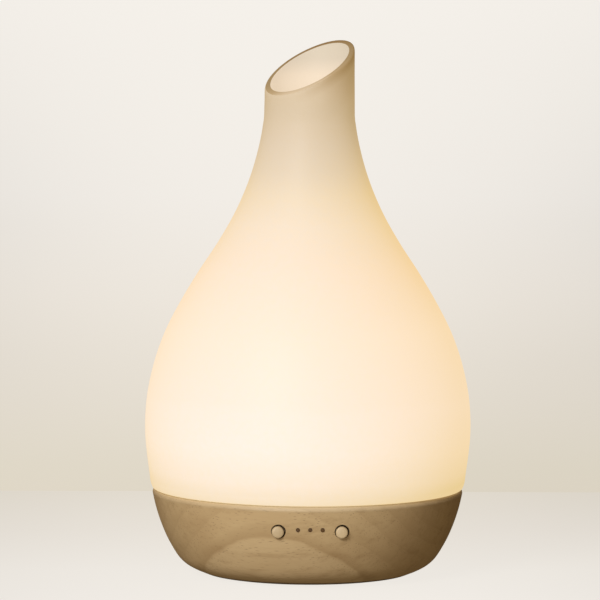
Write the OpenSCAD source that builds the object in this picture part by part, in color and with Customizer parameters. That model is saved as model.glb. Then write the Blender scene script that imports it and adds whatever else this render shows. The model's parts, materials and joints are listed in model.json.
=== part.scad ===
// Cool mist humidifier with a drop-shaped translucent cover on a shallow
// wood-grain base.  Millimetres.  Origin: centre of the circle on which the
// feet stand, +Z up, front (buttons) towards -Y, inlet socket towards +Y.

/* [Outer cover] */
// Wall thickness of the translucent cover
cover_wall = 2.6; // [2.2:0.1:3]
// Height of the mouth's cut, measured on the axis
mouth_height = 209.4; // [203:0.2:213]
// Slope of the mouth's cut
mouth_tilt = 30; // [15:0.5:36]
// Direction in which the cut rises, from +X towards +Y
mouth_turn = 38; // [0:1:359]

/* [Inner cover] */
// Height of the top of the mist chimney
chimney_top = 140; // [112:1:150]
// Bore radius of the mist chimney
chimney_bore = 8; // [6:0.5:9]

/* [Base] */
// Wall thickness of the wood-grain shell
base_wall = 2.6; // [2.2:0.1:2.8]
// Outer radius of each rubber foot
foot_r = 4.5; // [3.5:0.1:4.5]

/* [Buttons and indicators] */
// Distance between the two button centres
button_pitch = 25.8; // [23:0.2:26.4]
// Height of the button centres
button_z = 25.4; // [25.2:0.1:26]
// Diameter of a button cap
button_d = 5; // [4:0.1:5.2]
// Width of the gap round a button cap
button_gap = 0.5; // [0.3:0.05:0.6]
// Distance between the indicator dots
dot_pitch = 5; // [4:0.1:5.2]
// Diameter of an indicator dot's hole
dot_d = 1.8; // [1.4:0.1:2]

/* [Air and light] */
// Number of fan blades
blades = 7; // [5:1:9]
// Number of light-emitting chips on the ring
leds = 11; // [6, 11]

/* [Hidden] */

$fn = 96;
e = 0.01;

// Outline of the cover, [radius, height]
COVER = [[64.2, 35.95], [64.65, 38.5], [65.15, 42.5], [66.15, 50],
  [66.87, 58], [66.8, 66.5], [65.75, 76.5], [63, 88.5], [58.7, 100.5],
  [52.6, 112.5], [45.5, 124.5], [37.65, 136.5], [30.8, 148.5], [25.5, 160.5],
  [21.7, 172.5], [19.2, 184.5], [18.45, 195], [18.4, 232]];
// Outline of the base shell from its foot to the start of its rounded lip
BASE = [[44.6, 2.15], [47, 3.15], [50.2, 4.95], [53, 7.6], [55.6, 11.6],
  [58.15, 16.4], [60.6, 22.4], [62.5, 28.4], [63.75, 34]];
LIP_R = 1.8;      // round-over of the base's lip
LIP_X = 63.75;    // outer radius of the lip
LIP_Z = 35.8;     // top of the lip
LEDGE_Z = 31;     // ledge that carries the tank deck

DISC = [1, 3.7];        // underside and top of the bottom cover
COVER_R = 44.4;           // radius of the bottom cover
FEET = [20, 110, 200, 290];
FOOT_AT = 30;
BSCREW = [35, 125, 215, 305];
BSCREW_AT = 39.5;
TSCREW = [45, 135, 225, 315];
TSCREW_AT = 53;

FAN = [-25, 8];           // axis of the fan and of the air duct
FAN_Z = [5.8, 15.8];
BOARD_Z = [6.4, 8];
MSCREW = [[2, -36], [30, -6], [-1, 33]];
CSCREW = [-18, 102, 222]; // transducer clamp screws
CSCREW_AT = 17.5;
POSTS = [-36, 48, 132, 216];
JACK_Z = 14;              // height of the inlet socket
DOT_Z = 26.2;
FACE_Y = -61.4;           // front of a button cap

// ---- curve helpers -------------------------------------------------
function cr(a, b, c, d, t) =
  0.5 * (2*b + (c - a)*t + (2*a - 5*b + 4*c - d)*t*t
         + (3*b - a - 3*c + d)*t*t*t);
function smooth(p, n) = let (m = len(p) - 1) concat(
  [for (i = [0:m-1], k = [0:n-1])
    cr(p[max(i-1, 0)], p[i], p[i+1], p[min(i+2, m)], k/n)], [p[m]]);
function unit(v) = v / norm(v);
function inset(p, t) = let (m = len(p) - 1)
  [for (i = [0:m]) let (d = unit(p[min(i+1, m)] - p[max(i-1, 0)]))
    p[i] + t*[-d[1], d[0]]];
function arc(c, r, a, b, n) =
  [for (i = [0:n]) c + r*[cos(a + (b-a)*i/n), sin(a + (b-a)*i/n)]];

// ---- small shared shapes -------------------------------------------
module at(r, a, z = 0) { translate([r*cos(a), r*sin(a), z]) children(); }
module ring(r1, r2, z1, z2) {
  translate([0, 0, z1]) difference() {
    cylinder(r = r2, h = z2 - z1);
    translate([0, 0, -1]) cylinder(r = r1, h = z2 - z1 + 2);
  }
}
// screw that points up: head from z = -h to 0, shank from 0 to l
module screw(r, l, rh, h) {
  difference() {
    union() {
      translate([0, 0, -h]) cylinder(r = rh, h = h, $fn = 32);
      translate([0, 0, -e]) cylinder(r = r, h = l + e, $fn = 32);
    }
    for (a = [0, 90]) rotate(a)
      translate([-rh*0.62, -0.28, -h - 1]) cube([rh*1.24, 0.56, 1 + h*0.55]);
  }
}
// round wire swept along the points p
module wire(p, r) {
  q = smooth(p, 5); m = len(q); s = 8;
  function dir(i) = unit(q[min(i+1, m-1)] - q[max(i-1, 0)]);
  function up(d) = abs(d[2]) > 0.95 ? [1, 0, 0] : [0, 0, 1];
  pts = [for (i = [0:m-1]) let (d = dir(i), u = unit(cross(up(d), d)),
      v = cross(d, u)) for (k = [0:s-1])
      q[i] + r*(cos(k*360/s)*u + sin(k*360/s)*v)];
  faces = concat([[for (k = [0:s-1]) k]],
    [for (i = [0:m-2], k = [0:s-1])
      [i*s + k, (i+1)*s + k, (i+1)*s + (k+1)%s, i*s + (k+1)%s]],
    [[for (k = [s-1:-1:0]) (m-1)*s + k]]);
  polyhedron(pts, faces);
}

// ---- outer cover ---------------------------------------------------
function cover_out() = smooth(COVER, 3);
module outer_cover() {
  o = cover_out();
  i = inset(o, cover_wall);
  color([1, 0.94, 0.86, 0.85]) difference() {
    rotate_extrude($fn = 128) polygon(concat(
      [[59.7, 35.95], [63.3, 35.95], [63.9, 36.2]],
      [for (k = [1:len(o)-1]) o[k]],
      [for (k = [len(i)-1:-1:4]) i[k]], [[59.7, 38.8]]));
    translate([0, 0, mouth_height]) rotate([0, 0, mouth_turn])
      rotate([0, -mouth_tilt, 0]) translate([-60, -60, 0])
        cube([120, 120, 60]);
  }
}

// silicone ring on which the cover stands and turns
module cover_seat_ring() {
  color([0.93, 0.9, 0.84]) rotate_extrude($fn = 128) polygon([
    [58.7, 33.45], [60.6, 33.45], [60.8, 33.65], [60.8, 35.7], [60.62, 35.88],
    [59.5, 35.88], [59.35, 38.2], [59.1, 38.4], [58.85, 38.2],
    [58.7, 36]]);
}

// ---- inner cover ---------------------------------------------------
module inner_cover() {
  b = chimney_bore; w = b + 1.5;
  color([0.96, 0.95, 0.92]) rotate_extrude() polygon(concat(
    [[42.6, 68.4], [43.9, 68.1], [44.2, 68.6], [44.2, 74.05], [47.2, 74.05],
     [47.4, 74.3], [47.4, 75.4]],
    smooth([[47, 75.9], [43.5, 80], [37, 84.6], [28, 88.6], [19, 91.6],
      [w + 2.5, 94.4], [w, 99]], 3),
    [[w, chimney_top - 0.6], [w - 0.4, chimney_top],
     [b + 0.4, chimney_top], [b, chimney_top - 0.6]],
    smooth([[b, 96], [b + 2, 92.2], [18.6, 89.6], [27.2, 86.8],
      [35.8, 82.8], [41, 78.6], [42.6, 75]], 3)));
}

// ---- tank ----------------------------------------------------------
module water_tank() {
  color([0.95, 0.94, 0.9]) difference() {
    union() {
      rotate_extrude() polygon([
        [9, 26.2], [9, 27], [13, 27.6], [30, 30.5], [35, 32.2], [38.5, 34.6],
        [41.2, 37.8], [43.2, 41.8], [44.3, 46], [44.6, 50], [44.6, 61.5],
        [44.1, 61.9], [44.1, 62.2], [44.6, 62.6], [44.6, 73.6], [44.9, 74],
        [46.5, 74], [46.8, 73.7], [46.8, 50], [46.4, 45.4], [45.2, 40.6],
        [44, 37.6], [43.2, 36], [43.2, 34.4], [44.2, 33.4], [60.4, 33.4],
        [60.7, 33.1], [60.7, 31], [40, 31], [36, 29.9], [30, 28],
        [14.6, 25.2], [14.6, 23.4], [12.1, 23.4], [12.1, 26.2]]);
      // air duct tower
      translate([FAN[0], FAN[1], 19.2]) cylinder(r = 9, h = 50.8);
      // bosses for the clamp screws
      for (a = CSCREW) at(CSCREW_AT, a, 23.4)
        cylinder(r = 3, h = 3.2, $fn = 48);
      // bosses for the tank screws
      for (a = TSCREW) at(TSCREW_AT, a, 26.9)
        cylinder(r = 3.3, h = 4.6, $fn = 48);
      // posts that carry the light ring
      for (a = POSTS) at(45.5, a, 29.25) cylinder(r = 2, h = 2.2, $fn = 32);
      for (a = POSTS) at(45.5, a, 27.6) cylinder(r = 0.95, h = 3, $fn = 32);
    }
    translate([FAN[0], FAN[1], 10]) cylinder(r = 7.2, h = 70);
    for (a = CSCREW) at(CSCREW_AT, a, 22) cylinder(r = 0.9, h = 4, $fn = 32);
    for (a = TSCREW) at(TSCREW_AT, a, 26) cylinder(r = 1.1, h = 5, $fn = 32);
  }
}

// ---- base shell ----------------------------------------------------
function base_out() = concat(smooth(BASE, 3),
  [for (i = [1:6]) [LIP_X - LIP_R + LIP_R*cos(15*i), 34 + LIP_R*sin(15*i)]]);
// everything inside the outline, kept t away from it
module base_fill(t) {
  o = inset(smooth(BASE, 2), t);
  rotate_extrude() polygon(concat([[0, o[0][1]]], o, [[0, 34]]));
}
module base_shell() {
  b = smooth(BASE, 3);
  i = inset(b, base_wall);
  difference() {
    union() {
      color([0.66, 0.55, 0.4]) rotate_extrude($fn = 128) polygon(concat(
        base_out(),
        [[60.9, LIP_Z], [60.9, LEDGE_Z], [57.2, LEDGE_Z], [57.2, 29.6],
         [58.6, 28.2]],
        [for (k = [len(i)-8:-1:8]) i[k]],
        [[47.9, 5.6], [41.5, 5.6], [41.5, 3.9], [44.6, 3.9]]));
      intersection() {
        union() {
          // bosses and ribs for the bottom screws
          for (a = BSCREW) {
            at(BSCREW_AT, a, 3.9) cylinder(r = 3.6, h = 10.1, $fn = 48);
            rotate(a) translate([BSCREW_AT, -1, 4.6]) cube([18, 2, 9.4]);
          }
          // lugs for the tank screws
          for (a = TSCREW) {
            at(TSCREW_AT, a, 24) cylinder(r = 3.6, h = 2.8, $fn = 48);
            rotate(a) translate([TSCREW_AT, -3.1, 24]) cube([9, 6.2, 2.8]);
          }
          // guide pads behind the buttons
          for (s = [-1, 1]) translate([s*button_pitch/2, -55.7, button_z])
            rotate([90, 0, 0]) cylinder(r = 4.4, h = 5, $fn = 48);
          // pad behind the indicators
          translate([-7.4, -60, 24.6]) cube([14.8, 4.2, 3.8]);
          // slotted posts for the button board
          for (s = [-1, 1]) translate([s*18.2 - 1.9, -60, 18])
            cube([3.8, 14.4, 12]);
          // collar behind the inlet socket's hole
          translate([0, 51.6, JACK_Z]) rotate([-90, 0, 0])
            cylinder(r = 6.4, h = 6, $fn = 48);
        }
        base_fill(1.2);
      }
    }
    for (a = BSCREW) at(BSCREW_AT, a, 3) cylinder(r = 1.1, h = 9, $fn = 32);
    for (a = TSCREW) at(TSCREW_AT, a, 23) cylinder(r = 1.6, h = 5, $fn = 32);
    // button and indicator holes
    for (s = [-1, 1]) translate([s*button_pitch/2, -40, button_z])
      rotate([90, 0, 0])
        cylinder(r = button_d/2 + button_gap, h = 30, $fn = 64);
    for (s = [-1, 0, 1]) translate([s*dot_pitch, -40, DOT_Z])
      rotate([90, 0, 0]) cylinder(r = dot_d/2, h = 30, $fn = 32);
    // room for the flanges behind the guide pads
    for (s = [-1, 1]) translate([s*button_pitch/2, -55.7, button_z])
      rotate([-90, 0, 0]) cylinder(r = 4.2, h = 3, $fn = 48);
    // slots for the button board
    translate([-17.7, -49.25, 19.9]) cube([35.4, 1.9, 20]);
    // inlet socket's hole and its recess
    translate([0, 40, JACK_Z]) rotate([-90, 0, 0])
      cylinder(r = 4.4, h = 30, $fn = 64);
    translate([0, 55.4, JACK_Z]) rotate([-90, 0, 0])
      cylinder(r = 5.6, h = 10, $fn = 64);
    // room for two of the fan's bosses
    for (x = [-12, 12], y = [-12, 12])
      translate([FAN[0] + x, FAN[1] + y, 3.4]) cylinder(r = 3.2, h = 2.6,
        $fn = 32);
  }
}

// ---- bottom --------------------------------------------------------
module bottom_cover() {
  color([0.32, 0.27, 0.22]) difference() {
    union() {
      rotate_extrude() polygon([[0, DISC[0]], [COVER_R - 3.4, DISC[0]],
        [COVER_R - 2, 1.26], [COVER_R, 2.05], [COVER_R, DISC[1]], [0, DISC[1]]]);
      for (x = [-12, 12], y = [-12, 12])
        translate([FAN[0] + x, FAN[1] + y, DISC[1] - e])
          cylinder(r = 2.4, h = FAN_Z[0] - DISC[1] + e, $fn = 32);
      for (p = MSCREW) translate([p[0], p[1], DISC[1] - e])
        cylinder(r = 2.6, h = BOARD_Z[0] - DISC[1] + e, $fn = 32);
    }
    for (a = BSCREW) {
      at(BSCREW_AT, a, 0) cylinder(r = 1.5, h = 6, $fn = 32);
      at(BSCREW_AT, a, 0.5) cylinder(r = 2.7, h = 2.4, $fn = 32);
    }
    for (a = FEET) at(FOOT_AT, a, 0.5) cylinder(r = foot_r + 0.1, h = 1.8);
    for (x = [-12, 12], y = [-12, 12])
      translate([FAN[0] + x, FAN[1] + y, 2.4]) cylinder(r = 1.2, h = 6,
        $fn = 32);
    for (p = MSCREW) translate([p[0], p[1], 2.4]) cylinder(r = 1.1, h = 6,
      $fn = 32);
    // air intake slots under the fan
    for (k = [-3:3]) let (w = sqrt(11.6*11.6 - 9*k*k))
      translate([FAN[0] - w, FAN[1] + 3*k - 0.8, 0.5])
        cube([2*w, 1.6, 4.5]);
  }
}

module rubber_feet() {
  color([0.22, 0.2, 0.19]) for (a = FEET) at(FOOT_AT, a, 0)
    rotate_extrude($fn = 64) polygon([[0, 0], [foot_r - 0.6, 0],
      [foot_r - 0.18, 0.18], [foot_r, 0.6], [foot_r, 2.25], [0, 2.25]]);
}

module bottom_screws() {
  color([0.75, 0.75, 0.77]) for (a = BSCREW) at(BSCREW_AT, a, 2.9)
    rotate(a) screw(1.05, 8.4, 2.4, 1.2);
}

module tank_screws() {
  color([0.75, 0.75, 0.77]) for (a = TSCREW) at(TSCREW_AT, a, 24)
    rotate(a) screw(1.05, 6.6, 2.6, 1.5);
}

// ---- mist transducer -----------------------------------------------
module transducer_disc() {
  color([0.85, 0.84, 0.8]) translate([0, 0, 24.5])
    cylinder(r = 10, h = 0.8);
}
module transducer_gasket() {
  color([0.82, 0.82, 0.8]) rotate_extrude() polygon([[8.4, 23.4],
    [12, 23.4], [12, 26.15], [9.1, 26.15], [9.1, 25.35], [10.05, 25.35],
    [10.05, 24.45], [8.4, 24.45]]);
}
module transducer_clamp() {
  color([0.9, 0.89, 0.85]) difference() {
    union() {
      translate([0, 0, 21.7]) cylinder(r = 14.2, h = 1.65);
      for (a = CSCREW) {
        at(CSCREW_AT, a, 21.7) cylinder(r = 3, h = 1.65, $fn = 48);
        rotate(a) translate([10, -2.5, 21.7]) cube([7.5, 5, 1.65]);
      }
    }
    translate([0, 0, 20]) cylinder(r = 8, h = 5);
    for (a = CSCREW) at(CSCREW_AT, a, 20) cylinder(r = 1.2, h = 5, $fn = 32);
  }
}
module clamp_screws() {
  color([0.75, 0.75, 0.77]) for (a = CSCREW) at(CSCREW_AT, a, 21.7)
    rotate(a) screw(0.85, 4.1, 2, 1.2);
}

// ---- main board ----------------------------------------------------
module main_board() {
  z = BOARD_Z[0]; h = BOARD_Z[1] - z;
  color([0.1, 0.35, 0.2]) difference() {
    translate([0, 0, z]) cylinder(r = 45.4, h = h);
    translate([-107.5, -50, z - 1]) cube([100, 100, h + 2]);
    for (a = [BSCREW[0], BSCREW[3]]) {
      at(BSCREW_AT, a, z - 1) cylinder(r = 4.4, h = h + 2, $fn = 48);
      rotate(a) translate([BSCREW_AT, -1.8, z - 1]) cube([20, 3.6, h + 2]);
    }
    for (p = MSCREW) translate([p[0], p[1], z - 1])
      cylinder(r = 1.5, h = h + 2, $fn = 32);
  }
}
module board_screws() {
  color([0.75, 0.75, 0.77]) for (p = MSCREW)
    translate([p[0], p[1], BOARD_Z[1]]) rotate([180, 0, 0])
      screw(1.05, 4.9, 2.2, 1.4);
}
module driver_core() {
  z = BOARD_Z[1];
  color([0.25, 0.24, 0.23]) translate([24, -21, z]) {
    ring(2, 5.4, 0, 1.2);
    ring(2, 3.4, 1, 8);
    ring(2, 5.4, 7.6, 8.8);
  }
}
module driver_winding() {
  z = BOARD_Z[1];
  color([0.75, 0.42, 0.2]) translate([24, -21, z])
    ring(3.45, 4.9, 1.25, 7.55);
}
module filter_capacitors() {
  z = BOARD_Z[1];
  color([0.15, 0.17, 0.3]) {
    for (p = [[12, -33, 4, 10], [37, -2, 4, 9], [38, 9, 3.15, 8]])
      translate([p[0], p[1], z]) rotate_extrude($fn = 48) polygon([[0, 0],
        [p[2] - 0.2, 0], [p[2], 0.3], [p[2], 1.1], [p[2] - 0.25, 1.5],
        [p[2], 1.9], [p[2], p[3] - 0.4], [p[2] - 0.4, p[3]],
        [p[2] - 1, p[3]], [p[2] - 1.1, p[3] - 0.2], [0, p[3] - 0.2]]);
  }
}
module driver_transistor() {
  z = BOARD_Z[1];
  color([0.12, 0.12, 0.13]) translate([9, 12.4, z + 3.4])
    cube([10, 4.4, 9]);
  color([0.8, 0.8, 0.8]) for (k = [-1:1])
    translate([14 + 2.5*k - 0.4, 14.4, z]) cube([0.8, 0.5, 3.5]);
}
module heat_sink() {
  z = BOARD_Z[1];
  color([0.7, 0.7, 0.72]) {
    translate([5, 16.85, z]) cube([18, 1.6, 13]);
    for (k = [0:5]) translate([5.4 + 3.2*k, 18.4, z + 1])
      cube([1.2, 5, 12]);
  }
}
module controller_chip() {
  z = BOARD_Z[1];
  color([0.1, 0.1, 0.11]) translate([8, -14, z + 0.2]) cube([5, 6, 1.5]);
  color([0.8, 0.8, 0.8]) for (s = [0, 1], k = [0:3])
    translate([s*6.4 + 6.8, -13.3 + 1.27*k, z]) cube([1.4, 0.45, 0.6]);
}
module board_connectors() {
  z = BOARD_Z[1];
  color([0.93, 0.91, 0.86]) for (p = [[-4, 4], [-4, -20], [20, 31], [2, -27]])
    translate([p[0], p[1], z]) difference() {
      cube([7, 4.5, 5.6]);
      translate([0.8, 0.8, 1.2]) cube([5.4, 2.9, 6]);
    }
}

// ---- light ring ----------------------------------------------------
module led_board() {
  color([0.93, 0.93, 0.9]) difference() {
    ring(42.6, 48.6, 28.2, 29.2);
    translate([-20, -60, 27]) cube([40, 24, 4]);
    for (a = POSTS) at(45.5, a, 27) cylinder(r = 1.05, h = 4, $fn = 32);
  }
}
module light_leds() {
  color([1, 0.9, 0.6]) for (k = [0:leds-1]) rotate(-50 + 280*k/(leds-1))
    translate([44.1, -1.6, 29.2]) cube([2.8, 3.2, 0.8]);
}

// ---- buttons and indicators ---------------------------------------
module button_board() {
  color([0.1, 0.35, 0.2]) translate([-17.5, -49.1, 20]) cube([35, 1.6, 9.9]);
}
module switch_bodies() {
  for (s = [-1, 1]) translate([s*button_pitch/2, -49.1, button_z])
    color([0.14, 0.14, 0.15]) difference() {
      translate([-3, -3.5, -3]) cube([6, 3.5, 6]);
      rotate([90, 0, 0]) translate([0, 0, 1.8])
        cylinder(r = 1.2, h = 4, $fn = 32);
    }
}
module indicator_leds() {
  color([0.95, 0.9, 0.75]) for (s = [-1, 0, 1])
    translate([s*dot_pitch - 0.8, -50.1, DOT_Z - 0.8]) cube([1.6, 1, 1.6]);
}
module indicator_light_guide() {
  color([0.36, 0.26, 0.16]) {
    for (s = [-1, 0, 1]) translate([s*dot_pitch, -50.3, DOT_Z])
      rotate([90, 0, 0]) cylinder(r = dot_d/2 - 0.06, h = 11.4, $fn = 32);
    translate([-dot_pitch - 1.2, -55.6, DOT_Z - 1.3])
      cube([2*dot_pitch + 2.4, 1.2, 2.6]);
  }
}
module button_cap(x) {
  r = button_d/2;
  color([0.78, 0.68, 0.52]) translate([x, FACE_Y, button_z])
    rotate([-90, 0, 0]) rotate_extrude($fn = 64) polygon([[0, 0],
      [r - 0.5, 0], [r - 0.15, 0.14], [r, 0.5], [r, 6], [r + 1.3, 6],
      [r + 1.3, 7], [0, 7]]);
}
module switch_plunger(x) {
  color([0.15, 0.15, 0.16]) translate([x, -54.4, button_z])
    rotate([-90, 0, 0]) cylinder(r = 1.1, h = 2.6, $fn = 32);
}
module button_cap_left() { button_cap(-button_pitch/2); }
module button_cap_right() { button_cap(button_pitch/2); }
module switch_plunger_left() { switch_plunger(-button_pitch/2); }
module switch_plunger_right() { switch_plunger(button_pitch/2); }

// ---- inlet socket --------------------------------------------------
module dc_jack_housing() {
  color([0.1, 0.1, 0.1]) difference() {
    union() {
      translate([-4.5, 38, BOARD_Z[1]]) cube([9, 10.8, 11]);
      translate([0, 48, JACK_Z]) rotate([-90, 0, 0])
        cylinder(r = 4.2, h = 7, $fn = 64);
    }
    translate([0, 45.5, JACK_Z]) rotate([-90, 0, 0])
      cylinder(r = 2.95, h = 20, $fn = 64);
    translate([0, 39, JACK_Z]) rotate([-90, 0, 0])
      cylinder(r = 0.85, h = 10, $fn = 32);
  }
}
module dc_jack_pin() {
  color([0.8, 0.8, 0.82]) translate([0, 40, JACK_Z]) rotate([-90, 0, 0])
    rotate_extrude($fn = 32) polygon([[0, 0], [0.8, 0], [0.8, 5.6],
      [1.05, 5.6], [1.05, 13], [0.6, 13.6], [0, 13.6]]);
}

// ---- fan -----------------------------------------------------------
module fan_frame() {
  z0 = FAN_Z[0]; h = FAN_Z[1] - z0;
  color([0.13, 0.13, 0.14]) translate([FAN[0], FAN[1], z0]) difference() {
    linear_extrude(h) polygon([for (k = [0:3])
      each arc(12.6*[sign(cos(45 + 90*k)), sign(sin(45 + 90*k))], 2.4,
        90*k, 90*k + 90, 4)]);
    // blade opening, which leaves the hub plate, three arms and bearing tube
    difference() {
      translate([0, 0, -1]) cylinder(r = 14.2, h = h + 2);
      translate([0, 0, h - 1.4]) cylinder(r = 6, h = 1.2);
      for (a = [30, 150, 270]) rotate(a) translate([4, -0.8, h - 1.3])
        cube([12, 1.6, 1]);
      translate([0, 0, 1.6]) cylinder(r = 1.9, h = h - 2.2, $fn = 32);
    }
    for (x = [-12, 12], y = [-12, 12]) translate([x, y, -1])
      cylinder(r = 1.4, h = h + 2, $fn = 32);
    translate([0, 0, -1]) cylinder(r = 1.05, h = h - 0.2, $fn = 32);
  }
}
module fan_stator() {
  z0 = FAN_Z[0];
  color([0.75, 0.42, 0.2]) translate([FAN[0], FAN[1], z0]) difference() {
    union() {
      translate([0, 0, 2.4]) cylinder(r = 3, h = 5.4, $fn = 48);
      for (a = [0:90:270]) rotate(a) translate([0, -1.2, 3])
        cube([4.3, 2.4, 4.2]);
      intersection() {
        translate([0, 0, 3.6]) cylinder(r = 4.7, h = 3, $fn = 48);
        for (a = [0:90:270]) rotate(a) translate([3.6, -2.4, 3.6])
          cube([2, 4.8, 3]);
      }
    }
    translate([0, 0, 1]) cylinder(r = 1.95, h = 9, $fn = 32);
  }
}
module fan_rotor() {
  z0 = FAN_Z[0];
  color([0.16, 0.16, 0.17]) translate([FAN[0], FAN[1], z0]) {
    difference() {
      translate([0, 0, 0.3]) cylinder(r = 6.8, h = 7.6);
      translate([0, 0, 1.3]) cylinder(r = 5.8, h = 9);
      translate([0, 0, -1]) cylinder(r = 1, h = 4, $fn = 32);
    }
    intersection() {
      for (k = [0:blades-1]) rotate(k*360/blades)
        translate([6.4, 0, 4.1]) rotate([36, 0, 0])
          translate([0, -5.2, -0.4]) cube([7.4, 10.4, 0.8]);
      difference() {
        translate([0, 0, 0.4]) cylinder(r = 13.6, h = 7.4);
        translate([0, 0, -1]) cylinder(r = 6.3, h = 12);
      }
    }
  }
}
module fan_magnet() {
  z0 = FAN_Z[0];
  color([0.3, 0.3, 0.32]) translate([FAN[0], FAN[1], 0])
    ring(5.05, 5.8, z0 + 1.5, z0 + 7.5);
}
module fan_shaft() {
  z0 = FAN_Z[0];
  color([0.8, 0.8, 0.82]) translate([FAN[0], FAN[1], z0 + 0.3])
    cylinder(r = 1, h = 8.1, $fn = 32);
}
module fan_screws() {
  color([0.75, 0.75, 0.77]) for (x = [-12, 12], y = [-12, 12])
    translate([FAN[0] + x, FAN[1] + y, FAN_Z[1]]) rotate([180, 0, 0])
      screw(1.15, 13, 2.1, 1.4);
}
module fan_duct() {
  color([0.9, 0.89, 0.85]) translate([FAN[0], FAN[1], 0])
    rotate_extrude() polygon([[13, 15.85], [14.2, 15.85], [14.2, 16.6],
      [10.5, 20], [10.5, 22.8], [9.15, 22.8], [9.15, 19.6], [12.6, 16.6]]);
}

// ---- leads ---------------------------------------------------------
module fan_lead() {
  color([0.7, 0.12, 0.1]) for (s = [0, 1]) wire([[-9.9, 3 + 2*s, 13],
    [-8, 3 + 2*s, 13.4], [-5, 4.6 + 1.2*s, 14.4], [-2.4, 5.6 + 1.2*s, 14.6],
    [-1.4, 5.7 + 1.2*s, 13.8]], 0.5);
}
module transducer_lead() {
  color([0.85, 0.8, 0.7]) for (s = [0, 1]) wire([[-1 + 2.4*s, -3, 24.4],
    [-1 + 2.4*s, -4, 21], [-0.9 + 1.4*s, -9, 18], [-1 + 1.4*s, -15, 16],
    [-1.2 + 1.4*s, -17.4, 14.6], [-1.2 + 1.4*s, -17.8, 13.7]], 0.5);
}
module light_lead() {
  color([0.9, 0.9, 0.88]) for (s = [0, 1]) wire([[24.6 + 1.4*s, 37.6, 28.1],
    [24.4 + 1.4*s, 37.2, 26], [23.4 + 1.4*s, 35.4, 20],
    [22.8 + 1.4*s, 33.6, 15.6], [22.8 + 1.4*s, 33.2, 13.7]], 0.5);
}
module button_lead() {
  color([0.9, 0.9, 0.88]) for (s = [0, 1]) wire([[6 + 1.4*s, -47.2, 23],
    [6 + 1.4*s, -45, 22], [5.8 + 1.4*s, -38, 18],
    [5 + 1.4*s, -28.4, 15.4], [4.8 + 1.4*s, -25.2, 14.4],
    [4.8 + 1.4*s, -24.8, 13.7]], 0.5);
}

outer_cover();
cover_seat_ring();
inner_cover();
water_tank();
base_shell();
bottom_cover();
rubber_feet();
bottom_screws();
tank_screws();
transducer_disc();
transducer_gasket();
transducer_clamp();
clamp_screws();
main_board();
board_screws();
driver_core();
driver_winding();
filter_capacitors();
driver_transistor();
heat_sink();
controller_chip();
board_connectors();
led_board();
light_leds();
button_board();
switch_bodies();
indicator_leds();
indicator_light_guide();
button_cap_left();
button_cap_right();
switch_plunger_left();
switch_plunger_right();
dc_jack_housing();
dc_jack_pin();
fan_frame();
fan_stator();
fan_rotor();
fan_magnet();
fan_shaft();
fan_screws();
fan_duct();
fan_lead();
transducer_lead();
light_lead();
button_lead();
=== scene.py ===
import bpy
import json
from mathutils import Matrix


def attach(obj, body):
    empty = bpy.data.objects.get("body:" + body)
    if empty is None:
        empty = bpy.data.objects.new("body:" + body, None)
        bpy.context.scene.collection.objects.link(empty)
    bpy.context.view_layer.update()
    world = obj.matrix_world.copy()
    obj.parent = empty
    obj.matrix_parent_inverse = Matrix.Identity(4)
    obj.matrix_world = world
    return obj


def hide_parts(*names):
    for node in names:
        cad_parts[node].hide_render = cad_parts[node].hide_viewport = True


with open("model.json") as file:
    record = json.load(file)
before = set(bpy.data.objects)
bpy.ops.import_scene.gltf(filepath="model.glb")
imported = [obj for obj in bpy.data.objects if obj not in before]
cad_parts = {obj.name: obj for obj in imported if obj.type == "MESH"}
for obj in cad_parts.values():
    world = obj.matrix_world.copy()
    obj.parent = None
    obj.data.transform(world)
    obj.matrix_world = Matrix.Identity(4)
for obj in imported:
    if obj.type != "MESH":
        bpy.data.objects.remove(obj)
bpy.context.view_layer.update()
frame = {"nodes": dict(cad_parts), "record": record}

import bpy, bmesh, math, json
from mathutils import Vector, Matrix

MM = 0.001
sin, cos, pi = math.sin, math.cos, math.pi
rad = math.radians
scene = bpy.context.scene
nodes_of = frame["nodes"]


# ------------------------------------------------------------------ helpers
def srgb(r, g, b, a=1.0):
    def f(c):
        c /= 255.0
        return ((c + 0.055) / 1.055) ** 2.4 if c > 0.04045 else c / 12.92
    return (f(r), f(g), f(b), a)


def new_object(name, verts, faces, smooth=True):
    me = bpy.data.meshes.new(name)
    me.from_pydata([tuple(v) for v in verts], [], faces)
    me.validate()
    me.update()
    bm = bmesh.new()
    bm.from_mesh(me)
    bmesh.ops.recalc_face_normals(bm, faces=bm.faces)
    bm.to_mesh(me)
    bm.free()
    ob = bpy.data.objects.new(name, me)
    scene.collection.objects.link(ob)
    if smooth:
        for p in me.polygons:
            p.use_smooth = True
    return ob


def sharpen(ob, angle=35):
    """Smooth shading with creases where faces meet at more than the angle."""
    me = ob.data
    for p in me.polygons:
        p.use_smooth = True
    bm = bmesh.new()
    bm.from_mesh(me)
    lim = rad(angle)
    for e in bm.edges:
        e.smooth = not (len(e.link_faces) == 2 and e.calc_face_angle(0.0) > lim)
    bm.to_mesh(me)
    bm.free()


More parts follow.
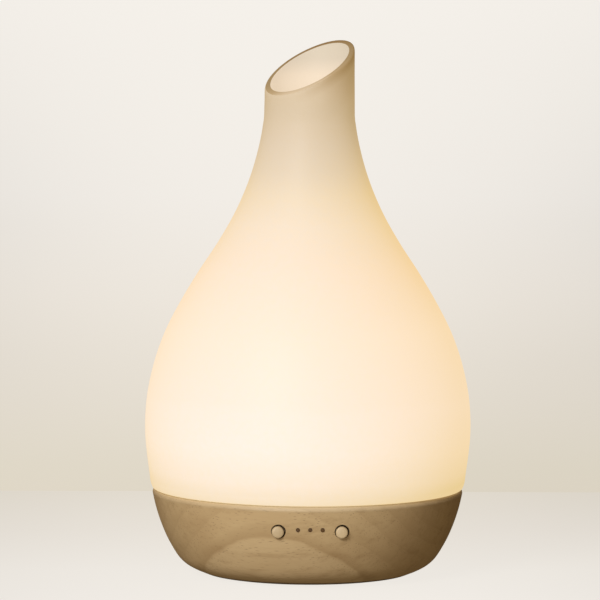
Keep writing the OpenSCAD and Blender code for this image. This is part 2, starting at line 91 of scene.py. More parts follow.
def fillet(pts, radii, n=5, closed=True):
    """2-D outline with each corner rounded by its radius (0 keeps it sharp)."""
    out = []
    m = len(pts)
    for i, p in enumerate(pts):
        r = radii[i] if isinstance(radii, (list, tuple)) else radii
        if r <= 0 or (not closed and i in (0, m - 1)):
            out.append(tuple(p))
            continue
        a = Vector(pts[i - 1]) - Vector(p)
        b = Vector(pts[(i + 1) % m]) - Vector(p)
        la, lb = a.length, b.length
        a.normalize(); b.normalize()
        ang = a.angle(b)
        if ang > pi - 0.02:
            out.append(tuple(p))
            continue
        t = min(r / math.tan(ang / 2), 0.49 * la, 0.49 * lb)
        rr = t * math.tan(ang / 2)
        mid = (a + b).normalized()
        c = Vector(p) + mid * (rr / sin(ang / 2))
        p0, p1 = Vector(p) + a * t, Vector(p) + b * t
        v0, v1 = p0 - c, p1 - c
        a0 = math.atan2(v0[1], v0[0])
        d = math.atan2(v0[0] * v1[1] - v0[1] * v1[0], v0.dot(v1))
        for k in range(n + 1):
            w = a0 + d * k / n
            out.append((c[0] + rr * cos(w), c[1] + rr * sin(w)))
    return out


def lathe(name, prof, seg=128, closed=True, axis="z", origin=(0, 0, 0), crease=35):
    """Turns a closed outline of (radius, height) pairs in mm about an axis."""
    verts, faces, rows = [], [], []
    for r, z in prof:
        if r < 1e-6:
            rows.append([len(verts)])
            verts.append((0.0, 0.0, z))
        else:
            rows.append(list(range(len(verts), len(verts) + seg)))
            for k in range(seg):
                t = 2 * pi * k / seg
                verts.append((r * cos(t), r * sin(t), z))
    m = len(prof)
    for i in range(m if closed else m - 1):
        a, b = rows[i], rows[(i + 1) % m]
        if len(a) == 1 and len(b) == 1:
            continue
        for k in range(seg):
            k2 = (k + 1) % seg
            if len(a) == 1:
                faces.append((a[0], b[k2], b[k]))
            elif len(b) == 1:
                faces.append((a[k], a[k2], b[0]))
            else:
                faces.append((a[k], a[k2], b[k2], b[k]))
    if axis == "y":      # the outline's height runs along -Y
        verts = [(x, -z, y) for x, y, z in verts]
    verts = [((x + origin[0]) * MM, (y + origin[1]) * MM, (z + origin[2]) * MM)
             for x, y, z in verts]
    ob = new_object(name, verts, faces)
    sharpen(ob, crease)
    return ob


def catmull(pts, n):
    out = []
    m = len(pts) - 1
    for i in range(m):
        a, b, c, d = (pts[max(i - 1, 0)], pts[i], pts[i + 1], pts[min(i + 2, m)])
        for k in range(n):
            t = k / n
            out.append(tuple(
                0.5 * (2 * b[j] + (c[j] - a[j]) * t
                       + (2 * a[j] - 5 * b[j] + 4 * c[j] - d[j]) * t * t
                       + (3 * b[j] - a[j] - 3 * c[j] + d[j]) * t ** 3)
                for j in (0, 1)))
    out.append(tuple(pts[-1]))
    return out


def inset(p, t):
    out = []
    m = len(p) - 1
    for i in range(m + 1):
        d = Vector(p[min(i + 1, m)]) - Vector(p[max(i - 1, 0)])
        d.normalize()
        out.append((p[i][0] - t * d[1], p[i][1] + t * d[0]))
    return out


# ---------------------------------------------------------------- materials
class Mat:
    """Small builder for a node material around one Principled shader."""

    def __init__(self, name, rough=0.5, metallic=0.0, color=(0.8, 0.8, 0.8, 1),
                 **sockets):
        self.m = bpy.data.materials.new(name)
        self.m.use_nodes = True
        self.t = self.m.node_tree
        self.b = self.t.nodes["Principled BSDF"]
        self.b.inputs["Base Color"].default_value = color
        self.b.inputs["Roughness"].default_value = rough
        self.b.inputs["Metallic"].default_value = metallic
        for k, v in sockets.items():
            self.b.inputs[k.replace("_", " ")].default_value = v

    def n(self, kind, **kw):
        nd = self.t.nodes.new(kind)
        for k, v in kw.items():
            if k.startswith("i_"):
                nd.inputs[k[2:].replace("_", " ")].default_value = v
            else:
                setattr(nd, k, v)
        return nd

    def link(self, a, b):
        self.t.links.new(a, b)

    def coord(self, scale=(1, 1, 1), rot=(0, 0, 0), loc=(0, 0, 0)):
        c = self.n("ShaderNodeTexCoord")
        mp = self.n("ShaderNodeMapping")
        mp.inputs["Scale"].default_value = scale
        mp.inputs["Rotation"].default_value = rot
        mp.inputs["Location"].default_value = loc
        self.link(c.outputs["Object"], mp.inputs["Vector"])
        return mp.outputs["Vector"]

    def noise(self, vec, scale, detail=3.0, rough=0.5, dist=0.0):
        nz = self.n("ShaderNodeTexNoise")
        nz.inputs["Scale"].default_value = scale
        nz.inputs["Detail"].default_value = detail
        nz.inputs["Roughness"].default_value = rough
        nz.inputs["Distortion"].default_value = dist
        self.link(vec, nz.inputs["Vector"])
        return nz.outputs["Fac"]

    def ramp(self, fac, stops, interp="LINEAR"):
        r = self.n("ShaderNodeValToRGB")
        r.color_ramp.interpolation = interp
        el = r.color_ramp.elements
        while len(el) > 1:
            el.remove(el[-1])
        el[0].position, el[0].color = stops[0]
        for pos, col in stops[1:]:
            e = el.new(pos)
            e.color = col
        self.link(fac, r.inputs["Fac"])
        return r.outputs["Color"]

    def math(self, op, a, b=None, c=None, clamp=False):
        nd = self.n("ShaderNodeMath", operation=op, use_clamp=clamp)
        for i, v in enumerate((a, b, c)):
            if v is None:
                continue
            if isinstance(v, (int, float)):
                nd.inputs[i].default_value = v
            else:
                self.link(v, nd.inputs[i])
        return nd.outputs[0]

    def maprange(self, v, a, b, c=0.0, d=1.0, clamp=True):
        nd = self.n("ShaderNodeMapRange", clamp=clamp)
        nd.inputs["From Min"].default_value = a
        nd.inputs["From Max"].default_value = b
        nd.inputs["To Min"].default_value = c
        nd.inputs["To Max"].default_value = d
        self.link(v, nd.inputs["Value"])
        return nd.outputs["Result"]

    def mix(self, fac, a, b, mode="MIX"):
        nd = self.n("ShaderNodeMix", data_type="RGBA", blend_type=mode)
        if isinstance(fac, (int, float)):
            nd.inputs[0].default_value = fac
        else:
            self.link(fac, nd.inputs[0])
        for i, v in ((6, a), (7, b)):
            if isinstance(v, (tuple, list)):
                nd.inputs[i].default_value = v
            else:
                self.link(v, nd.inputs[i])
        return nd.outputs[2]

    def bump(self, h, strength=0.1, dist=0.001, normal=None):
        nd = self.n("ShaderNodeBump")
        nd.inputs["Strength"].default_value = strength
        nd.inputs["Distance"].default_value = dist
        self.link(h, nd.inputs["Height"])
        if normal is not None:
            self.link(normal, nd.inputs["Normal"])
        self.link(nd.outputs["Normal"], self.b.inputs["Normal"])
        return nd.outputs["Normal"]

    def color(self, sock):
        self.link(sock, self.b.inputs["Base Color"])

    def rough(self, sock):
        self.link(sock, self.b.inputs["Roughness"])


def plastic(name, col, rough=0.45, vary=0.06, grain=900, bump=0.06, spec=0.4):
    """Moulded plastic: slight tone drift, fine spark-eroded texture."""
    m = Mat(name, rough=rough)
    m.b.inputs["Specular IOR Level"].default_value = spec
    v = m.coord()
    big = m.noise(v, 45, 3)
    d = tuple(max(0, c * (1 - vary)) for c in col[:3]) + (1,)
    l = tuple(min(1, c * (1 + vary)) for c in col[:3]) + (1,)
    m.color(m.ramp(big, [(0.3, d), (0.7, l)]))
    fine = m.noise(v, grain, 2)
    m.rough(m.maprange(fine, 0.3, 0.7, rough - 0.05, rough + 0.06))
    m.bump(fine, bump, 0.0002)
    return m.m


def metal(name, col, rough=0.3, streak=(60, 60, 900), bump=0.04):
    m = Mat(name, rough=rough, metallic=1.0)
    v = m.coord(scale=streak)
    nz = m.noise(v, 1.0, 4)
    d = tuple(c * 0.82 for c in col[:3]) + (1,)
    m.color(m.ramp(nz, [(0.25, d), (0.75, col)]))
    m.rough(m.maprange(nz, 0.3, 0.7, rough - 0.08, rough + 0.1))
    m.bump(nz, bump, 0.0002)
    return m.m


# frosted, warm, lit from inside: the glow fades towards the neck
def cover_material(name, inside=False):
    m = Mat(name, rough=0.5)
    m.b.inputs["Specular IOR Level"].default_value = 0.14
    c = m.n("ShaderNodeTexCoord")
    sep = m.n("ShaderNodeSeparateXYZ")
    m.link(c.outputs["Object"], sep.inputs["Vector"])
    v = m.coord()
    cloud = m.noise(v, 14, 2, 0.5)
    z = m.math("MULTIPLY_ADD", m.math("SUBTRACT", cloud, 0.5), 0.006,
               sep.outputs["Z"])
    h = m.maprange(z, 0.036, 0.220)
    if inside:
        stops = [(0.0, (0.86, 0.64, 0.38, 1)), (0.35, (0.80, 0.60, 0.36, 1)),
                 (0.62, (0.72, 0.57, 0.40, 1)), (0.88, (0.66, 0.54, 0.40, 1)),
                 (0.92, (0.63, 0.515, 0.385, 1)), (0.957, (0.500, 0.425, 0.322, 1)),
                 (1.0, (0.51, 0.438, 0.325, 1))]
        tone = [(0.0, (0.30, 0.32, 0.36, 1)), (0.6, (0.22, 0.20, 0.18, 1)),
                (1.0, (0.18, 0.162, 0.141, 1))]
    else:
        stops = [(0.0, (0.80, 0.600, 0.300, 1)), (0.020, (0.79, 0.585, 0.275, 1)),
                 (0.045, (0.835, 0.63, 0.345, 1)),
                 (0.10, (0.88, 0.67, 0.40, 1)), (0.20, (0.91, 0.70, 0.455, 1)),
                 (0.36, (0.92, 0.69, 0.42, 1)), (0.50, (0.89, 0.63, 0.33, 1)),
                 (0.60, (0.835, 0.60, 0.298, 1)), (0.665, (0.765, 0.55, 0.262, 1)),
                 (0.72, (0.665, 0.485, 0.252, 1)), (0.78, (0.56, 0.412, 0.225, 1)),
                 (0.85, (0.462, 0.331, 0.168, 1)), (0.90, (0.430, 0.300, 0.145, 1)),
                 (0.94, (0.405, 0.285, 0.132, 1)), (1.0, (0.335, 0.235, 0.105, 1))]
        tone = [(0.0, (0.155, 0.20, 0.33, 1)), (0.05, (0.15, 0.21, 0.36, 1)),
                (0.12, (0.14, 0.205, 0.36, 1)),
                (0.22, (0.11, 0.155, 0.265, 1)), (0.36, (0.10, 0.150, 0.255, 1)),
                (0.5, (0.10, 0.175, 0.31, 1)), (0.60, (0.10, 0.165, 0.29, 1)),
                (0.72, (0.13, 0.165, 0.23, 1)), (0.80, (0.195, 0.20, 0.22, 1)),
                (0.88, (0.24, 0.235, 0.23, 1)), (1.0, (0.27, 0.24, 0.215, 1))]
    glow = m.ramp(h, stops)
    base = m.ramp(h, tone)
    if not inside:
        # painted shade: under the high side of the mouth, most on the +X side, both the glow
        # and the base colour are darkened
        top = m.math("MULTIPLY_ADD", sep.outputs["X"],
                     math.tan(rad(30)) * cos(rad(38)), 0.2094)
        top = m.math("MULTIPLY_ADD", sep.outputs["Y"],
                     math.tan(rad(30)) * sin(rad(38)), top)
        under = m.math("SUBTRACT", top, z)
        near = m.math("MULTIPLY", m.maprange(under, 0.0, 0.0055, 0.66, 0.0),
                      m.maprange(sep.outputs["X"], -0.006, 0.007))
        far = m.math("MULTIPLY", m.maprange(under, 0.0, 0.019, 0.60, 0.0),
                     m.maprange(sep.outputs["X"], 0.004, 0.0150))
        shade = m.math("ADD", near, far, clamp=True)
        shade = m.mix(shade, (1, 1, 1, 1), (0.70, 0.615, 0.47, 1))
        glow = m.mix(1.0, glow, shade, "MULTIPLY")
        base = m.mix(1.0, base, shade, "MULTIPLY")
    m.link(glow, m.b.inputs["Emission Color"])
    m.b.inputs["Emission Strength"].default_value = 1.0
    fine = m.noise(v, 1500, 2)
    speck = m.noise(v, 420, 3, 0.6)
    m.color(m.mix(m.maprange(speck, 0.35, 0.75, 0.0, 0.16), base,
                  (0.20, 0.17, 0.13, 1)))
    m.rough(m.maprange(fine, 0.3, 0.7, 0.46, 0.60))
    m.bump(fine, 0.05, 0.00015)
    return m.m


# the cut edge of the cover: less light reaches it, least on its far side
def rim_material():
    m = Mat("frosted_cover_rim", rough=0.55)
    m.b.inputs["Specular IOR Level"].default_value = 0.10
    v = m.coord()
    c = m.n("ShaderNodeTexCoord")
    sep = m.n("ShaderNodeSeparateXYZ")
    m.link(c.outputs["Object"], sep.inputs["Vector"])
    far = m.math("ADD", m.math("MULTIPLY", sep.outputs["X"], cos(rad(75)) / 0.0178),
                 m.math("MULTIPLY", sep.outputs["Y"], sin(rad(75)) / 0.0178))
    nz = m.noise(v, 160, 2)
    far = m.math("MULTIPLY_ADD", m.math("SUBTRACT", nz, 0.5), 0.12, far)
    f = m.maprange(far, -1.0, 1.0)
    m.link(m.ramp(f, [(0.0, (0.53, 0.413, 0.275, 1)), (0.03, (0.52, 0.403, 0.265, 1)),
                      (0.146, (0.37, 0.26, 0.135, 1)), (0.37, (0.265, 0.180, 0.08, 1)),
                      (0.63, (0.215, 0.140, 0.055, 1)), (1.0, (0.145, 0.072, 0.012, 1))]),
           m.b.inputs["Emission Color"])
    m.b.inputs["Emission Strength"].default_value = 1.0
    fine = m.noise(v, 1500, 2)
    m.color(m.ramp(fine, [(0.3, (0.14, 0.102, 0.063, 1)), (0.7, (0.16, 0.12, 0.077, 1))]))
    m.rough(m.maprange(fine, 0.3, 0.7, 0.48, 0.62))
    m.bump(fine, 0.05, 0.00015)
    return m.m


# pale sawn wood: rings about a level line that passes above the base and is
# turned a little from +X, with fibres and pores along the same line
GRAIN_TURN = 17.0


def wood_material(name, tone=1.0):
    m = Mat(name, rough=0.5)
    m.b.inputs["Specular IOR Level"].default_value = 0.22
    obj = m.coord()
    turned = m.coord(rot=(0, 0, rad(GRAIN_TURN)))

    def along(scale, loc=(0, 0, 0)):
        mp = m.n("ShaderNodeMapping")
        mp.inputs["Scale"].default_value = scale
        mp.inputs["Location"].default_value = loc
        m.link(turned, mp.inputs["Vector"])
        return mp.outputs["Vector"]

    sep = m.n("ShaderNodeSeparateXYZ")
    m.link(turned, sep.inputs["Vector"])
    warp = m.noise(along((11, 30, 30)), 1.0, 3, 0.5)
    wob = m.noise(along((60, 200, 200), (2, 9, 4)), 1.0, 3, 0.6)
    zz = m.math("SUBTRACT", sep.outputs["Z"], 0.077)
    d = m.math("SQRT", m.math("ADD", m.math("MULTIPLY", zz, zz),
                              m.math("MULTIPLY", sep.outputs["Y"],
                                     sep.outputs["Y"])))
    d = m.math("MULTIPLY_ADD", m.math("SUBTRACT", warp, 0.5), 0.0042, d)
    d = m.math("MULTIPLY_ADD", m.math("SUBTRACT", wob, 0.5), 0.0009, d)
    ring = m.math("FRACT", m.math("MULTIPLY", d, 1 / 0.00625))
    late = m.ramp(ring, [(0.0, (0, 0, 0, 1)), (0.50, (0.10, 0.10, 0.10, 1)),
                         (0.84, (0.70, 0.70, 0.70, 1)), (0.95, (1, 1, 1, 1)),
                         (1.0, (0.05, 0.05, 0.05, 1))])
    fib = m.noise(along((70, 1000, 1000)), 1.0, 4, 0.6)
    fib2 = m.noise(along((26, 300, 300), (3, 1, 7)), 1.0, 3, 0.6)
    cloud = m.noise(along((15, 42, 42), (1, 5, 2)), 1.0, 3, 0.5)
    light = tuple(c * tone for c in (0.500, 0.365, 0.198)) + (1,)
    pale = tuple(c * tone for c in (0.520, 0.384, 0.216)) + (1,)
    mid = tuple(c * tone for c in (0.43, 0.300, 0.156)) + (1,)
    dark = tuple(c * tone for c in (0.31, 0.200, 0.093)) + (1,)
    col = m.ramp(cloud, [(0.34, mid), (0.66, light)])
    # the figure under the outermost arch is a little paler, with a darker
    # line round it
    edge = m.math("MULTIPLY", m.maprange(d, 0.0786, 0.0808, 0.0, 0.40),
                  m.maprange(d, 0.0808, 0.0814, 1.0, 0.0))
    col = m.mix(edge, col, dark)
    col = m.mix(m.maprange(d, 0.0808, 0.0818, 0.0, 0.75), col, pale)
    col = m.mix(m.math("MULTIPLY", late, 0.22), col, dark)
    col = m.mix(m.maprange(fib2, 0.52, 0.76, 0.0, 0.55), col, dark)
    col = m.mix(m.maprange(fib, 0.42, 0.70, 0.0, 0.35), col, mid)
    # pores: short dark dashes along the grain, denser in the early wood
    vor = m.n("ShaderNodeTexVoronoi", feature="F1")
    vor.inputs["Scale"].default_value = 1.0
    m.link(along((210, 1400, 1400)), vor.inputs["Vector"])
    pore = m.maprange(vor.outputs["Distance"], 0.10, 0.27, 1.0, 0.0)
    pore = m.math("MULTIPLY", pore, m.maprange(ring, 0.0, 0.6, 0.75, 0.30))
    col = m.mix(pore, col, tuple(c * 0.55 for c in dark[:3]) + (1,))
    # painted light: the lip's round-over is painted paler, standing in for light from above
    # and from the cover's glow
    s2 = m.n("ShaderNodeSeparateXYZ")
    m.link(obj, s2.inputs["Vector"])
    lip_painted_light = m.maprange(s2.outputs["Z"], 0.0333, 0.0355, 0.0, 0.8)
    # less so to the sides, where painted shade stands in for the cover's shadow on it
    lip_painted_light = m.math("MULTIPLY", lip_painted_light,
                 m.maprange(s2.outputs["X"], 0.010, 0.055, 1.0, 0.25))
    lip_painted_light = m.math("MULTIPLY", lip_painted_light,
                 m.maprange(s2.outputs["X"], -0.055, -0.020, 0.45, 1.0))
    col = m.mix(lip_painted_light, col, (0.41, 0.32, 0.205, 1))
    m.color(col)
    # and a little painted glow, standing in for the cover's light falling on it
    m.link(m.mix(lip_painted_light, (0, 0, 0, 1), (0.105, 0.100, 0.078, 1)),
           m.b.inputs["Emission Color"])
    m.b.inputs["Emission Strength"].default_value = 1.0
    m.rough(m.maprange(fib, 0.3, 0.7, 0.44, 0.60))
    hgt = m.math("SUBTRACT", m.math("MULTIPLY", fib, 0.5),
                 m.math("MULTIPLY", pore, 0.8))
    m.bump(hgt, 0.12, 0.00025)
    return m.m


M = {}
M["cover"] = cover_material("frosted_cover_outside")
M["cover_in"] = cover_material("frosted_cover_inside", True)
M["cover_rim"] = rim_material()
M["wood"] = wood_material("pale_wood_grain")
M["button"] = plastic("button_tan_satin", (0.462, 0.352, 0.206, 1), 0.42, 0.06, 700, 0.05)
M["silicone"] = plastic("silicone_translucent", (0.72, 0.62, 0.48, 1), 0.5, 0.03, 500, 0.04)
M["white"] = plastic("moulded_white", (0.80, 0.77, 0.70, 1), 0.38, 0.03, 800, 0.04)
M["tank"] = plastic("moulded_tank_white", (0.78, 0.76, 0.70, 1), 0.32, 0.03, 600, 0.03)
M["under"] = plastic("underside_brown", (0.150, 0.104, 0.062, 1), 0.55, 0.12, 1100, 0.22)
M["foot"] = plastic("foot_rubber_black", (0.022, 0.021, 0.020, 1), 0.72, 0.15, 900, 0.15, 0.25)
M["screw"] = metal("screw_zinc", (0.62, 0.62, 0.61, 1), 0.32)
M["pin"] = metal("pin_nickel", (0.72, 0.71, 0.68, 1), 0.22)
M["disc"] = metal("disc_silvered", (0.74, 0.72, 0.66, 1), 0.38)
M["board"] = plastic("board_green", (0.020, 0.135, 0.055, 1), 0.35, 0.2, 260, 0.06)
M["ferrite"] = plastic("ferrite_grey", (0.055, 0.053, 0.050, 1), 0.6, 0.2, 1200, 0.2)
M["copper"] = metal("copper_enamelled", (0.62, 0.26, 0.10, 1), 0.3, (30, 30, 3500), 0.3)
M["cap"] = plastic("capacitor_sleeve", (0.03, 0.045, 0.12, 1), 0.28, 0.15, 300, 0.03)
M["chip"] = plastic("epoxy_black", (0.020, 0.020, 0.021, 1), 0.5, 0.2, 1500, 0.15)
M["alu"] = metal("heat_sink_aluminium", (0.66, 0.66, 0.67, 1), 0.36, (900, 40, 40))
M["cream"] = plastic("connector_cream", (0.70, 0.66, 0.55, 1), 0.4)
M["boardw"] = plastic("board_white", (0.78, 0.78, 0.74, 1), 0.35, 0.05, 260, 0.06)
M["led"] = plastic("led_phosphor", (0.85, 0.62, 0.22, 1), 0.3)
M["smoked"] = plastic("smoked_lens", (0.088, 0.046, 0.017, 1), 0.22, 0.15, 400, 0.02)
M["black"] = plastic("moulded_black", (0.020, 0.019, 0.018, 1), 0.42, 0.2, 900, 0.12)
M["fan"] = plastic("fan_black", (0.022, 0.022, 0.023, 1), 0.38, 0.2, 900, 0.06)
M["lead_red"] = plastic("lead_red", (0.42, 0.03, 0.02, 1), 0.42)
M["lead_white"] = plastic("lead_white", (0.70, 0.67, 0.58, 1), 0.42)

by_slot = {
    "frosted_cover": "cover", "silicone": "silicone", "inner_white": "white",
    "tank_white": "tank", "wood_grain": "wood", "dark_underside": "under",
    "foot_rubber": "foot", "screw_steel": "screw", "disc_ceramic": "disc",
    "board_green": "board", "ferrite": "ferrite", "copper": "copper",
    "capacitor_sleeve": "cap", "chip_black": "chip", "heat_sink_alu": "alu",
    "connector_cream": "cream", "board_white": "boardw", "led_lens": "led",
    "smoked_lens": "smoked", "button_tan": "button", "jack_black": "black",
    "pin_steel": "pin", "fan_black": "fan", "lead_red": "lead_red",
    "lead_white": "lead_white"}
slot_of = {s["node"]: s["material_slot"] for s in frame["record"]["subparts"]}
for name, ob in nodes_of.items():
    mat = M[by_slot[slot_of[name]]]
    for sl in ob.material_slots:
        sl.material = mat


# -------------------------------------------------------------- outer cover
COVER = [(64.65, 38.5), (65.15, 42.5), (66.15, 50), (66.87, 58), (66.8, 66.5),
         (65.75, 76.5), (63, 88.5), (58.7, 100.5), (52.6, 112.5), (45.5, 124.5),
         (37.65, 136.5), (30.8, 148.5), (25.5, 160.5), (21.7, 172.5),
         (19.2, 184.5), (18.45, 195), (18.4, 232)]
WALL, MOUTH_Z, TILT, TURN = 2.6, 209.4, 30.0, 38.0


def make_cover():
    full = catmull([(64.2, 35.95)] + COVER, 9)
    inn_full = inset(full, WALL)
    k0 = 9                                    # index of (64.65, 38.5)
    out_fix = [p for p in full[k0:] if p[1] < 190]
    in_fix = [p for p in inn_full[k0 + 4:] if p[1] < 186]
    r_o = 18.43
    r_i = 18.43 - WALL
    slope = math.tan(rad(TILT))
    seg, M_TOP, NF = 224, 12, 7
    # the foot of the wall, rounded
    foot = fillet([(62.2, 40.1), (59.7, 38.9), (59.7, 35.95), (63.75, 35.95),
                   (64.33, 37.4)], [0, 0.5, 0.55, 0.8, 0], 5, closed=False)
    foot = foot[:-1] + [(64.38, 37.5), (64.5, 38.0)]
    cols = []
    for k in range(seg):
        t = 2 * pi * k / seg
        s = slope * cos(t - rad(TURN))
        co, ci = Vector((r_o, MOUTH_Z + s * r_o)), Vector((r_i, MOUTH_Z + s * r_i))
        along = (ci - co)
        L = along.length
        along.normalize()
        down = Vector((0, -1))
        to = min(1.35, 0.47 * L)
        td = 1.9
        ti = min(1.05, 0.45 * L)
        col = list(foot) + list(out_fix)
        z_a, z_b = out_fix[-1][1], co[1] - td
        ra = out_fix[-1][0]
        for j in range(1, M_TOP + 1):
            w = j / M_TOP
            col.append((ra + (r_o - ra) * min(1, w * 1.5), z_a + (z_b - z_a) * w))
        p0, p2 = co + down * td, co + along * to
        for j in range(1, NF + 1):
            w = j / NF
            q = p0 * (1 - w) ** 2 + co * 2 * w * (1 - w) + p2 * w * w
            col.append((q[0], q[1]))
        p0, p2 = ci - along * ti, ci + down * ti
        for j in range(0, NF + 1):
            w = j / NF
            q = p0 * (1 - w) ** 2 + ci * 2 * w * (1 - w) + p2 * w * w
            col.append((q[0], q[1]))
        z_a, z_b = ci[1] - ti, in_fix[-1][1]
        rb = in_fix[-1][0]
        for j in range(1, M_TOP):
            w = j / M_TOP
            col.append((r_i + (rb - r_i) * max(0, (w - 0.33) * 1.5),
                        z_a + (z_b - z_a) * w))
        col += list(reversed(in_fix))
        cols.append(col)
    m = len(cols[0])
    n_out = len(foot) + len(out_fix) + M_TOP + NF
    verts = []
    for k, col in enumerate(cols):
        t = 2 * pi * k / seg
        for r, z in col:
            verts.append((r * cos(t) * MM, r * sin(t) * MM, z * MM))
    faces, which = [], []
    for k in range(seg):
        k2 = (k + 1) % seg
        for i in range(m):
            i2 = (i + 1) % m
            faces.append((k * m + i, k2 * m + i, k2 * m + i2, k * m + i2))
            which.append(1 if n_out + 3 <= i < m - 1 else
                         2 if n_out - 4 <= i < n_out + 3 else 0)
    ob = new_object("frosted_cover_shell", verts, faces)
    ob.data.materials.append(M["cover"])
    ob.data.materials.append(M["cover_in"])
    ob.data.materials.append(M["cover_rim"])
    for p, w in zip(ob.data.polygons, which):
        p.material_index = w
    sharpen(ob, 60)
    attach(ob, "cover")
    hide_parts("outer_cover")
    return ob


cover = make_cover()


# ------------------------------------------------------------------ buttons
def make_button(side, x, dx, dz):
    r = 2.5
    prof = [(0, 61.42), (1.2, 61.40), (r - 0.75, 61.33)]
    prof += [(r - 0.75 + 0.75 * sin(a), 60.58 + 0.75 * cos(a))
             for a in [rad(18 + 9 * i) for i in range(9)]]
    prof += [(r, 59.4), (r, 55.62), (r + 0.1, 55.4), (r + 1.2, 55.4),
             (r + 1.3, 55.3), (r + 1.3, 54.5), (r + 1.2, 54.4), (0, 54.4)]
    ob = lathe("button_cap_" + side + "_skin", prof, 96, closed=False, axis="y",
               origin=(x + dx, 0, 25.4 + dz), crease=40)
    ob.data.materials.append(M["button"])
    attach(ob, "button_" + side)
    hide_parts("button_cap_" + side)
    return ob


# each cap sits a little low in its loose hole
make_button("left", -12.9, -0.24, -0.28)
make_button("right", 12.9, -0.09, -0.33)


# ------------------------------------------------------------------- camera
AZ = 1.14
EL_D, EL_H = 3.5, 0.48426
right = Vector((cos(rad(AZ)), -sin(rad(AZ)), 0))
cam_data = bpy.data.cameras.new("camera")
cam = bpy.data.objects.new("camera", cam_data)
scene.collection.objects.link(cam)
scene.camera = cam
cam.location = (-EL_D * sin(rad(AZ)), -EL_D * cos(rad(AZ)), EL_H)
target = Vector((0, 0, 0.11333)) - right * 0.00349
look = (target - cam.location).to_track_quat("-Z", "Y").to_matrix().to_4x4()
look = look @ Matrix.Rotation(rad(0.3), 4, "Z")
cam.matrix_world = Matrix.Translation(cam.location) @ look
cam_data.sensor_width = 36
cam_data.lens = 514.0
cam_data.clip_start, cam_data.clip_end = 0.05, 60

# -------------------------------------------------------- stage and lights
scene.view_settings.view_transform = "Standard"
scene.view_settings.look = "None"


def stage_plane(name, verts, axis, stops, painted_side_falloff):
    """A plain paper plane that glows with painted light: brighter or darker along one axis,
    paler near the middle.
    """
    ob = new_object(name, verts, [(0, 1, 2, 3)], smooth=False)
    m = Mat(name + "_paper", rough=0.9, color=(0.05, 0.048, 0.044, 1))
    m.b.inputs["Specular IOR Level"].default_value = 0.0
    t = m.t
    c = m.n("ShaderNodeTexCoord")
    s = m.n("ShaderNodeSeparateXYZ")
    m.link(c.outputs["Object"], s.inputs[0])
    lo, hi = stops[0][0], stops[-1][0]
    f = m.maprange(s.outputs[axis], lo, hi)
    tone = m.ramp(f, [((p - lo) / (hi - lo), col) for p, col in stops])
    # painted light: paler near the middle, darker towards the sides
    x2 = m.math("MULTIPLY", s.outputs["X"], s.outputs["X"])
    x2 = m.math("MULTIPLY", x2, 1 / 0.124 ** 2)
    x2 = m.math("MINIMUM", x2, 2.0)
    amp = m.ramp(f, [((p - lo) / (hi - lo), (a, a, a, 1)) for p, a in painted_side_falloff])
    k = m.math("SUBTRACT", 1.0, m.math("MULTIPLY", x2, amp))
    mul = m.n("ShaderNodeVectorMath", operation="SCALE")
    m.link(tone, mul.inputs[0])
    m.link(k, mul.inputs["Scale"])
    m.link(mul.outputs[0], m.b.inputs["Emission Color"])
    m.b.inputs["Emission Strength"].default_value = 1.0
    # seen from behind it is clear, so that it never hides the object
    g = m.n("ShaderNodeNewGeometry")
    tr = m.n("ShaderNodeBsdfTransparent")
    mx = m.n("ShaderNodeMixShader")
    m.link(g.outputs["Backfacing"], mx.inputs[0])
    m.link(m.b.outputs[0], mx.inputs[1])
    m.link(tr.outputs[0], mx.inputs[2])
    m.link(mx.outputs[0], t.nodes["Material Output"].inputs["Surface"])
    ob.data.materials.append(m.m)
    ob.visible_diffuse = False
    ob.visible_glossy = False
    ob.visible_transmission = False
    return ob


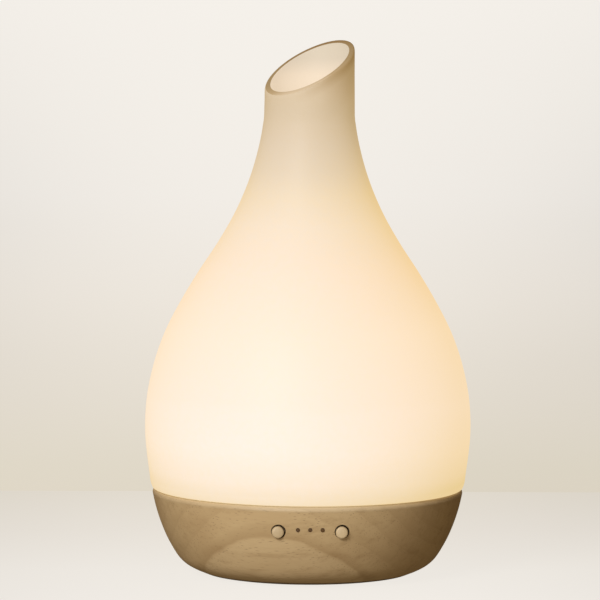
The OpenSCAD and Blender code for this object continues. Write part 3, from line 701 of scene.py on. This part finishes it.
WALL_Y = 0.2645
# painted light: the floor glows paler in front and darker towards the wall, painted shade at
# the corner
floor = stage_plane("floor", [(-12, -12, 0), (12, -12, 0), (12, 12, 0), (-12, 12, 0)],
                    "Y",
                    [(-0.12, (0.855, 0.820, 0.775, 1)), (0.01, (0.835, 0.797, 0.742, 1)),
                     (0.135, (0.785, 0.738, 0.672, 1)), (0.26, (0.745, 0.695, 0.613, 1))],
                    [(-0.12, 0.05), (0.26, 0.05)])
# painted light: the wall glows darker near the floor, painted shade in the corner, and paler
# higher up
wall = stage_plane("wall", [(-12, WALL_Y, 0), (12, WALL_Y, 0), (12, WALL_Y, 6),
                            (-12, WALL_Y, 6)], "Z",
                   [(0.0, (0.690, 0.634, 0.530, 1)), (0.0115, (0.698, 0.646, 0.542, 1)),
                    (0.0425, (0.742, 0.690, 0.606, 1)), (0.087, (0.805, 0.757, 0.690, 1)),
                    (0.131, (0.838, 0.803, 0.756, 1)), (0.175, (0.853, 0.820, 0.772, 1)),
                    (0.22, (0.862, 0.830, 0.785, 1))],
                   [(0.0, 0.0), (0.06, 0.06), (0.12, 0.08), (0.22, 0.02)])


def area(name, loc, aim, size, power, color=(1, 1, 1)):
    ld = bpy.data.lights.new(name, "AREA")
    ld.shape = "DISK"
    ld.size = size
    ld.energy = power
    ld.color = color
    lo = bpy.data.objects.new(name, ld)
    scene.collection.objects.link(lo)
    lo.location = loc
    lo.rotation_euler = (Vector(aim) - Vector(loc)).to_track_quat("-Z", "Y").to_euler()
    return lo


key = area("key", (-1.20, -2.36, 1.35), (0, 0, 0.09), 1.1, 74, (1.0, 0.995, 0.99))
fill = area("fill", (-0.60, -2.30, 0.03), (0, 0, 0.05), 0.9, 26, (1.0, 0.96, 0.90))

world = bpy.data.worlds.new("studio")
scene.world = world
world.use_nodes = True
wt = world.node_tree
bg = wt.nodes["Background"]
bg.inputs["Color"].default_value = (0.190, 0.137, 0.072, 1)
bg.inputs["Strength"].default_value = 1.0
# the open studio is pale where the camera looks past the stage
lp = wt.nodes.new("ShaderNodeLightPath")
bg2 = wt.nodes.new("ShaderNodeBackground")
bg2.inputs["Color"].default_value = (0.80, 0.76, 0.69, 1)
wmix = wt.nodes.new("ShaderNodeMixShader")
wt.links.new(lp.outputs["Is Camera Ray"], wmix.inputs[0])
wt.links.new(bg.outputs[0], wmix.inputs[1])
wt.links.new(bg2.outputs[0], wmix.inputs[2])
wt.links.new(wmix.outputs[0], wt.nodes["World Output"].inputs["Surface"])
